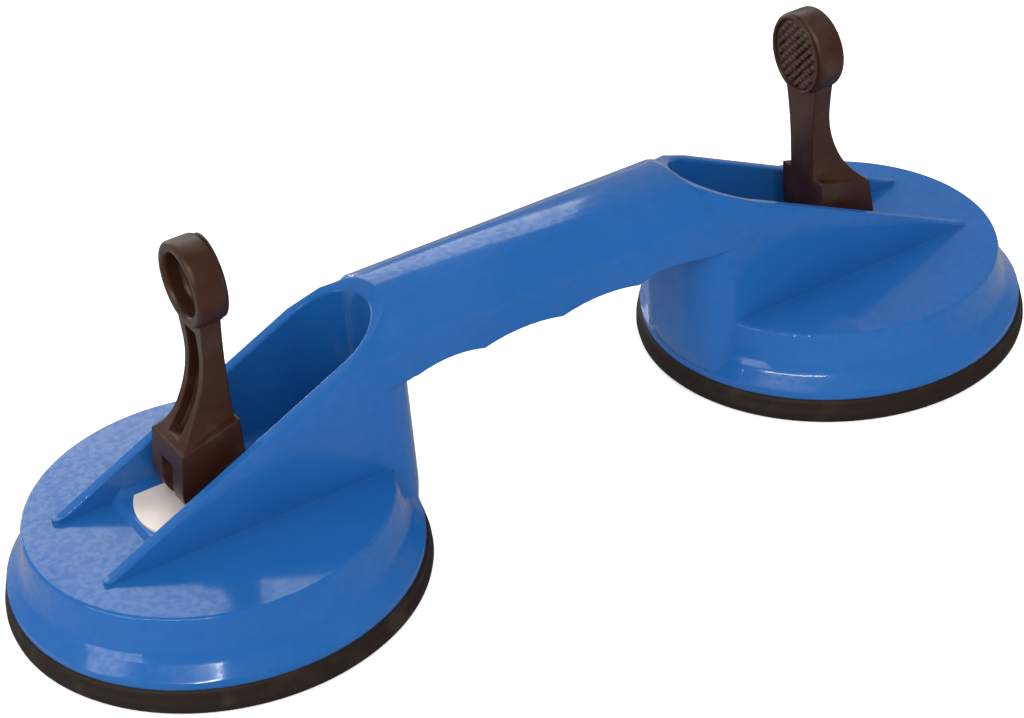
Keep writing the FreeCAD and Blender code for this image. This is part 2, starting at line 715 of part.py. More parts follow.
def guide_bush():
    """Flanged nylon bush pressed up into the crown; the stem slides in it."""
    body = make_body("left_guide_bush")
    bore = "stem_radius + running_fit"
    spin(body, make_sketch(body, "XZ_Plane", [
        (bore, WASHER_TOP),
        ("bush_flange_radius", WASHER_TOP),
        ("bush_flange_radius", CROWN_INSIDE),
        ("bush_radius", CROWN_INSIDE),
        ("bush_radius", "platform_height"),
        (bore, "platform_height"),
    ]))
    return body


def spring_washer():
    """Steel washer between the return spring and the bush's flange."""
    body = make_body("left_spring_washer")
    spin(body, make_sketch(body, "XZ_Plane", [
        ("washer_bore", f"{WASHER_TOP} - washer_gauge"),
        ("washer_radius", f"{WASHER_TOP} - washer_gauge"),
        ("washer_radius", WASHER_TOP),
        ("washer_bore", WASHER_TOP),
    ]))
    return body


def return_spring(label, side):
    """Coil spring between core plate and washer; it pushes the pad flat when the cup is free.

    Its wire is six-sided, which leaves the coil's size alone and keeps its surface plain.
    """
    foot = f"({CORE_TOP} + coil_room + wire_radius)"
    height = f"({WASHER_TOP} - washer_gauge - coil_room - wire_radius - {foot})"
    lead = doc.addObject("Part::Helix", f"{label}_lead")
    bind(lead, {
        "Radius": "coil_radius",
        "Height": height,
        "Pitch": f"{height} / coil_turns",
        "Placement.Base.x": f"{side} * cup_spacing / 2",
        "Placement.Base.z": foot,
    })
    wire = doc.addObject("Part::RegularPolygon", f"{label}_wire")
    wire.Polygon = 6
    bind(wire, {
        "Circumradius": "wire_radius",
        "Placement.Base.x": f"{side} * cup_spacing / 2 + coil_radius",
        "Placement.Base.z": foot,
    })
    wire.Placement.Rotation = FreeCAD.Rotation(FreeCAD.Vector(1, 0, 0), 90)
    spring = doc.addObject("Part::Sweep", label)
    spring.Label = label
    spring.Sections = [wire]
    spring.Spine = lead
    spring.Solid = True
    spring.Frenet = True
    doc.recompute()
    return spring


def cam_plate():
    """Steel wear plate under the lever: a disc with two flats, so that it can't turn."""
    body = make_body("left_cam_plate")
    corner = "sqrt(plate_radius^2 - plate_half^2)"
    extrude(body, make_sketch(body, "XY_Plane", [
        (f"-{corner}", "-plate_half"),
        (corner, "-plate_half", "-plate_radius"),
        ("plate_radius", "0", "-plate_radius"),
        (corner, "plate_half"),
        (f"-{corner}", "plate_half", "-plate_radius"),
        ("-plate_radius", "0", "-plate_radius"),
    ], offset="platform_height"), "plate_gauge")
    bore = make_circle(body, "XY_Plane", "plate_bore", offset="platform_height")
    extrude(body, bore, "plate_gauge", cut=True, backwards=True)
    return body


# --------------------------------------------------------------------------------------------
# Lever and pin
# --------------------------------------------------------------------------------------------
# The left lever's outward side is -X, so a place "out" from the pivot is written with a minus.

def cam_block():
    """Foot of the lever: its underside is a cam whose lift grows evenly with the fold.

    The cam is the involute whose distance from the pivot to a flat plate is
    pivot_rise + growth * angle, so the stem rises in proportion to the lever's angle and the
    outer face ends flat on the plate.
    """
    rise = value_of("pivot_rise")
    reach = value_of("face_offset")
    fold = math.radians(value_of("fold_angle"))
    growth = (reach - rise) / fold

    def place(out, up):
        return FreeCAD.Vector(-out, -value_of("block_half"), value_of(PIVOT_HEIGHT) + up)

    def cam(angle):
        lift = rise + growth * angle
        return place(lift * math.sin(angle) + growth * math.cos(angle),
                     growth * math.sin(angle) - lift * math.cos(angle))

    steps = 12
    curve = Part.BSplineCurve()
    curve.interpolate([cam(fold * step / steps) for step in range(steps + 1)])
    lean = (value_of("block_top_outer") + value_of(PIVOT_HEIGHT) - cam(fold).z) / math.tan(fold)
    top_outer = FreeCAD.Vector(cam(fold).x - lean, cam(0).y,
                               value_of(PIVOT_HEIGHT) + value_of("block_top_outer"))
    inner = value_of("block_inner")
    heel = value_of("heel_round")
    top_inner = place(-inner, value_of("block_top_inner"))
    heel_high = place(-inner, heel - rise)
    heel_low = place(heel - inner, -rise)
    heel_mid = place(heel * (1 - math.sqrt(0.5)) - inner, heel * (1 - math.sqrt(0.5)) - rise)
    profile = Part.Wire([
        curve.toShape(),
        Part.makeLine(cam(fold), top_outer),
        Part.makeLine(top_outer, top_inner),
        Part.makeLine(top_inner, heel_high),
        Part.Arc(heel_high, heel_mid, heel_low).toShape(),
        Part.makeLine(heel_low, cam(0)),
    ])
    block = doc.addObject("Part::Feature", "cam_block")
    block.Shape = Part.Face(profile).extrude(FreeCAD.Vector(0, 2 * value_of("block_half"), 0))
    return block


def stalk():
    """Stalk of the lever: side view and front view profiles, whichever is narrower."""
    flare = "((block_flare + stalk_outer)^2 + (stalk_waist - block_top_outer)^2)" \
            " / (2 * (block_flare + stalk_outer))"
    side = make_body("stalk_side")
    extrude(side, make_sketch(side, "XZ_Plane", [
        ("stalk_inner", f"{PIVOT_HEIGHT} + slot_rise + 2"),
        ("stalk_inner", STALK_TOP),
        ("stalk_outer", STALK_TOP),
        ("stalk_outer", f"{PIVOT_HEIGHT} + stalk_waist", flare),
        ("-block_flare", f"{PIVOT_HEIGHT} + block_top_outer"),
        ("-block_flare + 2", f"{PIVOT_HEIGHT} + slot_rise + 2"),
    ]), "2 * block_half", midplane=True)
    front = make_body("stalk_front")
    swell = "((block_half - stalk_half)^2 + stalk_swell^2) / (2 * (block_half - stalk_half))"
    growth = "(stalk_top_half - stalk_half)"
    climb = f"({STALK_TOP} - ({PIVOT_HEIGHT}) - stalk_straight)"
    widening = f"({growth}^2 + {climb}^2) / (2 * {growth})"
    extrude(front, make_sketch(front, "YZ_Plane", [
        ("-block_half", f"{PIVOT_HEIGHT} + slot_rise"),
        ("block_half", f"{PIVOT_HEIGHT} + slot_rise"),
        ("block_half", f"{PIVOT_HEIGHT} + block_top_outer", swell),
        ("stalk_half", f"{PIVOT_HEIGHT} + block_top_outer + stalk_swell"),
        ("stalk_half", f"{PIVOT_HEIGHT} + stalk_straight", widening),
        ("stalk_top_half", STALK_TOP),
        ("-stalk_top_half", STALK_TOP, widening),
        ("-stalk_half", f"{PIVOT_HEIGHT} + stalk_straight"),
        ("-stalk_half", f"{PIVOT_HEIGHT} + block_top_outer + stalk_swell", swell),
        ("-block_half", f"{PIVOT_HEIGHT} + block_top_outer"),
    ]), "4 * block_half", midplane=True)
    return combine("MultiCommon", "stalk", [side, front])


def lever_head():
    """Round head with its blind pocket, edges rounded."""
    body = make_body("lever_head")
    middle = f"{PIVOT_HEIGHT} + head_rise"
    disc = make_circle(body, "YZ_Plane", "head_radius", up=middle, offset="head_outer")
    extrude(body, disc, "head_inner - head_outer")
    pocket = make_circle(body, "YZ_Plane", "pocket_radius", up=middle, offset="head_outer")
    extrude(body, pocket, "pocket_depth", cut=True, backwards=True)
    return break_rims(body, "PartDesign::Fillet", "Radius", "lever_round", "XLength")


def lever_cuts():
    """What is cut out of the lever: the eye's slot, the pin's bore and the stalk's groove."""
    slot = make_body("eye_slot")
    end = "eye_radius + eye_room"
    extrude(slot, make_sketch(slot, "XZ_Plane", [
        (end, f"{PIVOT_HEIGHT} - 2 * pivot_rise"),
        (end, f"{PIVOT_HEIGHT} + slot_rise - ({end})", end),
        ("0", f"{PIVOT_HEIGHT} + slot_rise"),
        ("-2 * face_offset", f"{PIVOT_HEIGHT} + slot_rise"),
        ("-2 * face_offset", f"{PIVOT_HEIGHT} - 2 * pivot_rise"),
    ]), f"2 * ({SLOT_HALF})", midplane=True)
    bore = make_body("pin_bore")
    circle = make_circle(bore, "XZ_Plane", "pin_radius", up=PIVOT_HEIGHT)
    extrude(bore, circle, "4 * block_half", midplane=True)
    groove = make_body("stalk_groove")
    flare = "((block_flare + stalk_outer)^2 + (stalk_waist - block_top_outer)^2)" \
            " / (2 * (block_flare + stalk_outer)) + groove_depth"
    foot = "(block_top_outer + groove_rest)"
    drop = f"(stalk_waist - {foot})"
    extrude(groove, make_sketch(groove, "XZ_Plane", [
        ("stalk_outer + groove_depth", f"{PIVOT_HEIGHT} + head_rise - head_radius - groove_rest"),
        ("stalk_outer + groove_depth", f"{PIVOT_HEIGHT} + stalk_waist", flare),
        (f"stalk_outer + groove_depth - ({flare}) + sqrt(({flare})^2 - ({drop})^2)",
         f"{PIVOT_HEIGHT} + {foot}"),
        ("-2 * face_offset", f"{PIVOT_HEIGHT} + {foot}"),
        ("-2 * face_offset", f"{PIVOT_HEIGHT} + head_rise - head_radius - groove_rest"),
    ]), "2 * (stalk_half - rib_width)", midplane=True)
    return combine("MultiFuse", "lever_cuts", [slot, bore, groove])


def lever():
    """The locking lever: cam block, stalk and head as one moulding."""
    solid = combine("MultiFuse", "lever_blank", [cam_block(), stalk(), lever_head()])
    whole = combine("Cut", "left_release_lever", [solid, lever_cuts()])
    at_left_cup(whole)
    return whole


def pivot_pin():
    """Steel pin through the lever's cheeks and the stem's eye."""
    body = make_body("left_pivot_pin")
    half = "block_half - pin_inset"
    sketch = make_circle(body, "XZ_Plane", "pin_radius", up=PIVOT_HEIGHT)
    extrude(body, sketch, f"2 * ({half})", midplane=True)
    return break_rims(body, "PartDesign::Chamfer", "Size", "pin_edge", "YLength")


# --------------------------------------------------------------------------------------------
# Assembly and export
# --------------------------------------------------------------------------------------------

nodes = [handle_moulding()]
for make in (suction_pad, core_plate, lift_stem, jam_nut, guide_bush, spring_washer, cam_plate,
             pivot_pin):
    piece = make()
    at_left_cup(piece)
    nodes.append(piece)
nodes.append(lever())
for piece in nodes[1:]:
    nodes.append(mirrored(piece, piece.Label.replace("left_", "right_")))
    if piece.Label == "left_release_lever":
        break
nodes.append(return_spring("left_return_spring", "-1"))
nodes.append(return_spring("right_return_spring", "1"))
doc.recompute()

for item in doc.Objects:
    if "Invalid" in item.State or "Error" in item.State:
        raise RuntimeError(f"{item.Label} did not build: {item.State}")
for piece in nodes:
    shape = piece.Shape
    if shape.isNull() or not shape.isValid() or len(shape.Solids) != 1:
        raise RuntimeError(f"{piece.Label} is not one valid solid")
    shape.exportStep(f"parts/{piece.Label}.step")
    print(piece.Label, f"{shape.Volume:.0f} mm3")
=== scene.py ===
"""Looks of the twin-cup tile suction lifter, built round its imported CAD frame."""

from __future__ import annotations

import logging
import math
from dataclasses import dataclass, field
from enum import Enum
from typing import Any

import bmesh
import bpy
from mathutils import Matrix, Vector


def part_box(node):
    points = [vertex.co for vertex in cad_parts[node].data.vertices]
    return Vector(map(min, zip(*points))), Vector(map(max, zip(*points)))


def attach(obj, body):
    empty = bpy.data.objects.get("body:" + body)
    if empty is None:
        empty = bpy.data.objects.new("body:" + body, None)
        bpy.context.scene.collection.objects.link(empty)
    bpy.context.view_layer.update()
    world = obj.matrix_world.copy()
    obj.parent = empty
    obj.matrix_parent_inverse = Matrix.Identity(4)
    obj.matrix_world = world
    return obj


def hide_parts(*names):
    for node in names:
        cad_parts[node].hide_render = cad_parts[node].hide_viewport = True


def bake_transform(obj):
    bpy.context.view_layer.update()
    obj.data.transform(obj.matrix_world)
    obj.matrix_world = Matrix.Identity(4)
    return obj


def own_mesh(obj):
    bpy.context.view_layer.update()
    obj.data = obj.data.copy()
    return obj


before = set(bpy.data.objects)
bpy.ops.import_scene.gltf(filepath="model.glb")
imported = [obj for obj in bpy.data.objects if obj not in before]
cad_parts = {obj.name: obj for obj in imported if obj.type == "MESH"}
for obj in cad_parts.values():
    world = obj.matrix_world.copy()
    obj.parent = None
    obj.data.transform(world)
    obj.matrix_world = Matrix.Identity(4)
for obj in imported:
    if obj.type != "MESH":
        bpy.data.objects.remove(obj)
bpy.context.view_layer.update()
log = logging.getLogger("lifter")

Colour = tuple[float, float, float]


class Side(Enum):
    """The two cups: each value is the sign of the cup's X."""

    LEFT = -1
    RIGHT = 1

    @property
    def tag(self) -> str:
        """Prefix of the CAD nodes and bodies of this side."""
        return self.name.lower()


# --------------------------------------------------------------------------------------------
# Shader tools
# --------------------------------------------------------------------------------------------


class Wire:
    """A shader socket whose arithmetic adds Math nodes to its tree."""

    def __init__(self, nodes: Nodes, socket: bpy.types.NodeSocket) -> None:
        """Wrap an output socket of a node tree."""
        self.nodes = nodes
        self.socket = socket

    def _math(self, operation: str, *values: Any) -> Wire:
        """Add one Math node and return its result."""
        return self.nodes.add("ShaderNodeMath", {"operation": operation}, dict(enumerate(values)))

    def __add__(self, other: Any) -> Wire:
        """Sum."""
        return self._math("ADD", self, other)

    def __radd__(self, other: Any) -> Wire:
        """Sum with a number on the left."""
        return self._math("ADD", other, self)

    def __mul__(self, other: Any) -> Wire:
        """Product."""
        return self._math("MULTIPLY", self, other)

    def __rmul__(self, other: Any) -> Wire:
        """Product with a number on the left."""
        return self._math("MULTIPLY", other, self)

    def most(self, other: Any) -> Wire:
        """The larger of two values."""
        return self._math("MAXIMUM", self, other)

    def step(self, low: float, high: float) -> Wire:
        """Smooth rise from 0 at low to 1 at high.

        Args:
            low: Value at which the rise starts.
            high: Value at which it ends; below low it falls instead.

        Returns:
            The eased value.
        """
        return self.nodes.add(
            "ShaderNodeMapRange",
            {"interpolation_type": "SMOOTHSTEP"},
            {"Value": self, "From Min": low, "From Max": high, "To Min": 0.0, "To Max": 1.0},
        )


class Nodes:
    """A node tree of a material or a world, with one way to add its nodes."""

    def __init__(self, tree: bpy.types.NodeTree) -> None:
        """Work on a tree."""
        self.tree = tree

    def add(
        self, kind: str, settings: dict[str, Any], inputs: dict[Any, Any], out: Any = 0
    ) -> Wire:
        """Add one node.

        Args:
            kind: Blender's name of the node's type.
            settings: Properties of the node, which are set first.
            inputs: Values or wires of its sockets, by name or number.
            out: Name or number of the output to return.

        Returns:
            The chosen output.
        """
        node = self.tree.nodes.new(kind)
        for key, value in settings.items():
            setattr(node, key, value)
        for key, value in inputs.items():
            if isinstance(value, Wire):
                self.tree.links.new(value.socket, node.inputs[key])
            else:
                node.inputs[key].default_value = value
        return Wire(self, node.outputs[out])

    def ray(self, kind: str) -> Wire:
        """Whether a ray is of one kind, such as Is Camera Ray."""
        return self.add("ShaderNodeLightPath", {}, {}, kind)


class Recipe(Nodes):
    """A material with a Principled shader and short ways to add the nodes that feed it."""

    def __init__(self, name: str) -> None:
        """Start an empty recipe.

        Args:
            name: Name of the material.
        """
        self.material = bpy.data.materials.new(name)
        self.material.use_nodes = True
        super().__init__(self.material.node_tree)
        self.shader = next(n for n in self.tree.nodes if n.type == "BSDF_PRINCIPLED")

    def place(self) -> Wire:
        """Object coordinates, in metres."""
        return self.add("ShaderNodeTexCoord", {}, {}, "Object")

    def noise(self, scale: float, detail: float = 2.0, at: Wire | None = None) -> Wire:
        """Fractal noise from 0 to 1.

        Args:
            scale: Features per metre.
            detail: Octaves.
            at: Coordinates; the object's own if left out.

        Returns:
            The noise value.
        """
        spot = at or self.place()
        return self.add(
            "ShaderNodeTexNoise", {}, {"Vector": spot, "Scale": scale, "Detail": detail}, "Fac"
        )

    def stretched(self, scale: tuple[float, float, float]) -> Wire:
        """Object coordinates multiplied along each axis."""
        return self.add("ShaderNodeMapping", {}, {"Vector": self.place(), "Scale": scale})

    def tint(self, factor: Wire, low: Colour, high: Colour) -> Wire:
        """Mix two colours by a factor."""
        ends = {0: factor, 6: (*low, 1.0), 7: (*high, 1.0)}
        return self.add("ShaderNodeMix", {"data_type": "RGBA"}, ends, 2)

    def rounded(self, radius: float) -> Wire:
        """Normal with sharp edges rounded to a radius in metres."""
        return self.add("ShaderNodeBevel", {"samples": 6}, {"Radius": radius})

    def bump(
        self, height: Wire, distance: float, strength: float, under: Wire | None = None
    ) -> Wire:
        """Bump a surface by a height field.

        Args:
            height: Height from 0 to 1.
            distance: Height in metres that 1 stands for.
            strength: How much of the bump shows.
            under: Normal that the bump is laid over.

        Returns:
            The bumped normal.
        """
        inputs = {"Height": height, "Distance": distance, "Strength": strength}
        if under is not None:
            inputs["Normal"] = under
        return self.add("ShaderNodeBump", {}, inputs)

    def dress(self, **sockets: Any) -> bpy.types.Material:
        """Set or link sockets of the Principled shader.

        Args:
            **sockets: Socket names with underscores, and their values or wires.

        Returns:
            The finished material.
        """
        for key, value in sockets.items():
            target = self.shader.inputs[key.replace("_", " ")]
            if isinstance(value, Wire):
                self.tree.links.new(value.socket, target)
            elif isinstance(value, tuple) and len(value) == 3:
                target.default_value = (*value, 1.0)
            else:
                target.default_value = value
        return self.material


# --------------------------------------------------------------------------------------------
# Finishes
# --------------------------------------------------------------------------------------------


@dataclass(frozen=True)
class BlueMoulding:
    """Glossy blue moulded shell whose skin has a fine, uneven gloss.

    Attributes:
        deep: Darker colour of the plastic.
        lit: Lighter colour of the plastic.
        cloud_scale: Clouds of colour per metre.
        mottle_scale: Fine spots of gloss per metre.
        patch_scale: Broad patches of gloss per metre.
        peel_scale: Dimples of the skin per metre.
        peel_depth: Depth of a dimple, in metres.
        edge: Radius to which sharp edges look rounded, in metres.
    """

    deep: Colour = (0.010, 0.103, 0.345)
    lit: Colour = (0.016, 0.113, 0.365)
    cloud_scale: float = 22.0
    mottle_scale: float = 560.0
    patch_scale: float = 60.0
    peel_scale: float = 520.0
    peel_depth: float = 0.00010
    edge: float = 0.0007

    def build(self) -> bpy.types.Material:
        """Build the finish of the handle.

        Returns:
            The material.
        """
        mix = Recipe("blue_moulding")
        tone = mix.tint(mix.noise(self.cloud_scale, 3.0).step(0.35, 0.65), self.deep, self.lit)
        mottle = mix.noise(self.mottle_scale, 3.0).step(0.36, 0.64)
        patch = mix.noise(self.patch_scale, 2.0).step(0.30, 0.70)
        gloss = 0.28 + 0.42 * mottle + 0.18 * patch
        rough = 0.15 + 0.06 * patch + 0.05 * mottle
        soft = mix.rounded(self.edge)
        normal = mix.bump(mix.noise(self.peel_scale, 2.0), self.peel_depth, 0.30, soft)
        return mix.dress(
            Base_Color=tone, Roughness=rough, Normal=normal, Specular_IOR_Level=0.10,
            Coat_Weight=gloss, Coat_Roughness=0.10, Coat_IOR=1.45,
        )


@dataclass(frozen=True)
class BlackLever:
    """Brown-black moulded plastic of the levers, satin with handling wear.

    Attributes:
        base: Colour of the plastic.
        worn: Colour where it is scuffed.
        scuff_scale: Scuffs per metre.
        sheen_scale: Patches of sheen per metre.
        grain_scale: Grains of the skin per metre.
        grain_depth: Depth of a grain, in metres.
        edge: Radius to which sharp edges look rounded, in metres.
    """

    base: Colour = (0.036, 0.011, 0.005)
    worn: Colour = (0.090, 0.058, 0.042)
    scuff_scale: float = 90.0
    sheen_scale: float = 45.0
    grain_scale: float = 900.0
    grain_depth: float = 0.00006
    edge: float = 0.0008

    def build(self) -> bpy.types.Material:
        """Build the finish of the levers.

        Returns:
            The material.
        """
        mix = Recipe("black_lever")
        scuff = mix.noise(self.scuff_scale, 5.0).step(0.48, 0.74)
        colour = mix.tint(scuff * 0.35, self.base, self.worn)
        rough = 0.30 + 0.12 * mix.noise(self.sheen_scale, 3.0) + 0.08 * scuff
        soft = mix.rounded(self.edge)
        normal = mix.bump(mix.noise(self.grain_scale, 3.0), self.grain_depth, 0.35, soft)
        return mix.dress(
            Base_Color=colour, Roughness=rough, Normal=normal, Specular_IOR_Level=0.40,
            Specular_Tint=(1.0, 0.84, 0.72),
        )


@dataclass(frozen=True)
class PadRubber:
    """Black rubber with fine moulding rings and a little bloom.

    Attributes:
        base: Colour of the rubber.
        bloom: Colour where it has bloomed.
        bloom_scale: Patches of bloom per metre.
        sheen_scale: Patches of sheen per metre.
        skin_scale: Grains of the skin per metre.
        skin_depth: Depth of a grain, in metres.
        rings: Stretch of the noise that makes the moulding rings, per metre.
        ring_depth: Depth of a moulding ring, in metres.
    """

    base: Colour = (0.018, 0.009, 0.005)
    bloom: Colour = (0.040, 0.026, 0.019)
    bloom_scale: float = 110.0
    sheen_scale: float = 70.0
    skin_scale: float = 1100.0
    skin_depth: float = 0.00005
    rings: tuple[float, float, float] = (60.0, 60.0, 1400.0)
    ring_depth: float = 0.0001

    def build(self) -> bpy.types.Material:
        """Build the finish of the pads.

        Returns:
            The material.
        """
        mix = Recipe("pad_rubber")
        dust = mix.noise(self.bloom_scale, 4.0).step(0.48, 0.75)
        colour = mix.tint(dust * 0.6, self.base, self.bloom)
        rough = 0.52 + 0.16 * mix.noise(self.sheen_scale, 2.0)
        bands = mix.noise(1.0, 3.0, mix.stretched(self.rings))
        skin = mix.bump(mix.noise(self.skin_scale, 2.0), self.skin_depth, 0.4)
        normal = mix.bump(bands, self.ring_depth, 0.35, skin)
        return mix.dress(
            Base_Color=colour, Roughness=rough, Normal=normal, Specular_IOR_Level=0.22
        )


@dataclass(frozen=True)
class Metal:
    """Plated or drawn steel with brushing along one axis and light tarnish.

    Attributes:
        name: Name of the material.
        base: Colour of the clean metal.
        dull: Colour where it is tarnished.
        rough: Roughness of the clean metal.
        brush: Stretch of the noise that makes the brushing, per metre.
        metallic: How metallic it is; a dull white plating is only partly so.
        stain_scale: Stains per metre.
        line_depth: Depth of the brushing, in metres.
    """

    name: str
    base: Colour
    dull: Colour
    rough: float
    brush: tuple[float, float, float]
    metallic: float = 1.0
    stain_scale: float = 130.0
    line_depth: float = 0.00004

    def build(self) -> bpy.types.Material:
        """Build the finish of a metal piece.

        Returns:
            The material.
        """
        mix = Recipe(self.name)
        stain = mix.noise(self.stain_scale, 4.0).step(0.40, 0.70)
        colour = mix.tint(stain, self.base, self.dull)
        lines = mix.noise(1.0, 3.0, mix.stretched(self.brush))
        rough = self.rough + 0.18 * lines + 0.10 * stain
        normal = mix.bump(lines, self.line_depth, 0.4)
        return mix.dress(Base_Color=colour, Metallic=self.metallic, Roughness=rough, Normal=normal)


ZINC_PLATE = Metal(
    "zinc_plate", base=(0.97, 0.87, 0.79), dull=(0.90, 0.80, 0.72), rough=0.42,
    brush=(25.0, 1600.0, 25.0), metallic=0.35,
)
PLATED_STEEL = Metal(
    "plated_steel", base=(0.62, 0.62, 0.63), dull=(0.42, 0.42, 0.42), rough=0.28,
    brush=(400.0, 400.0, 2400.0),
)
SPRING_WIRE = Metal(
    "spring_wire", base=(0.46, 0.46, 0.48), dull=(0.25, 0.24, 0.24), rough=0.30,
    brush=(900.0, 900.0, 900.0),
)


@dataclass(frozen=True)
class Nylon:
    """Natural nylon of the guide bushes.

    Attributes:
        base: Colour of the nylon.
        dark: Colour of its darker clouds.
        cloud_scale: Clouds of colour per metre.
        sheen_scale: Patches of sheen per metre.
        grain_scale: Grains of the skin per metre.
        grain_depth: Depth of a grain, in metres.
    """

    base: Colour = (0.62, 0.60, 0.53)
    dark: Colour = (0.45, 0.42, 0.35)
    cloud_scale: float = 180.0
    sheen_scale: float = 300.0
    grain_scale: float = 900.0
    grain_depth: float = 0.00004

    def build(self) -> bpy.types.Material:
        """Build the finish of the guide bushes.

        Returns:
            The material.
        """
        mix = Recipe("bush_nylon")
        colour = mix.tint(mix.noise(self.cloud_scale, 3.0), self.base, self.dark)
        rough = 0.45 + 0.1 * mix.noise(self.sheen_scale, 2.0)
        normal = mix.bump(mix.noise(self.grain_scale, 2.0), self.grain_depth, 0.3)
        return mix.dress(Base_Color=colour, Roughness=rough, Normal=normal)


@dataclass
class Finishes:
    """Every finish of the tool, built once."""

    blue: bpy.types.Material = field(default_factory=BlueMoulding().build)
    lever: bpy.types.Material = field(default_factory=BlackLever().build)
    rubber: bpy.types.Material = field(default_factory=PadRubber().build)
    nylon: bpy.types.Material = field(default_factory=Nylon().build)
    zinc: bpy.types.Material = field(default_factory=ZINC_PLATE.build)
    steel: bpy.types.Material = field(default_factory=PLATED_STEEL.build)
    spring: bpy.types.Material = field(default_factory=SPRING_WIRE.build)


# --------------------------------------------------------------------------------------------
# Mesh tools
# --------------------------------------------------------------------------------------------


def finish_mesh(name: str, shape: bmesh.types.BMesh, material: bpy.types.Material,
                crease: float = 35.0) -> bpy.types.Object:
    """Make an object from a bmesh, smooth except along its sharper edges.

    Args:
        name: Name of the object.
        shape: The finished bmesh, which is freed.
        material: Its material.
        crease: Angle in degrees above which an edge stays sharp.

    Returns:
        The new object, at the origin.
    """
    shape.normal_update()
    limit = math.radians(crease)
    for face in shape.faces:
        face.smooth = True
    for edge in shape.edges:
        edge.smooth = len(edge.link_faces) == 2 and edge.calc_face_angle(math.pi) < limit
    mesh = bpy.data.meshes.new(name)
    shape.to_mesh(mesh)
    shape.free()
    mesh.materials.append(material)
    piece = bpy.data.objects.new(name, mesh)
    bpy.context.scene.collection.objects.link(piece)
    return piece


def spun(profile: list[tuple[float, float]], centre: Vector, steps: int,
         start: float = 0.0, sweep: float = math.tau) -> bmesh.types.BMesh:
    """Turn a profile of (radius, height) points about an upright axis.

    Args:
        profile: Points in metres; the last joins the first unless both lie on the axis.
        centre: A point on the axis.
        steps: Steps of the spin.
        start: Angle at which it starts.
        sweep: Angle that it turns through.

    Returns:
        The turned shape.
    """
    shape = bmesh.new()
    points = [shape.verts.new((radius, 0.0, height)) for radius, height in profile]
    rim = [shape.edges.new(pair) for pair in zip(points, points[1:])]
    if profile[0][0] > 1e-9:
        rim.append(shape.edges.new((points[-1], points[0])))
    bmesh.ops.rotate(shape, verts=points, cent=(0, 0, 0), matrix=Matrix.Rotation(start, 3, "Z"))
    bmesh.ops.spin(
        shape, geom=points + rim, cent=(0, 0, 0), axis=(0, 0, 1), angle=sweep, steps=steps,
        use_merge=sweep > math.tau - 1e-6,
    )
    bmesh.ops.remove_doubles(shape, verts=shape.verts, dist=1e-6)
    bmesh.ops.translate(shape, verts=shape.verts, vec=centre)
    return shape


def merged_copy(node: str, name: str, material: bpy.types.Material) -> bpy.types.Object:
    """Copy of a CAD node's mesh, with its loose triangles merged and its slivers removed.

    Args:
        node: Name of the CAD node.
        name: Name of the new piece.
        material: Its material.

    Returns:
        The new piece.
    """
    shape = bmesh.new()
    shape.from_mesh(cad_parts[node].data)
    bmesh.ops.remove_doubles(shape, verts=shape.verts, dist=2e-6)
    bmesh.ops.dissolve_degenerate(shape, edges=shape.edges, dist=1e-6)
    return finish_mesh(name, shape, material)


# --------------------------------------------------------------------------------------------
# Sub-assemblies
# --------------------------------------------------------------------------------------------


@dataclass
class Handle:
    """The blue moulding: both cup housings, their necks and the grip."""

    finishes: Finishes

    def build(self) -> list[bpy.types.Object]:
        """Dress the moulding.

        Returns:
            Its one piece.
        """
        shell = merged_copy("handle_body", "handle_shell", self.finishes.blue)
        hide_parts("handle_body")
        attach(shell, "frame")
        return [shell]


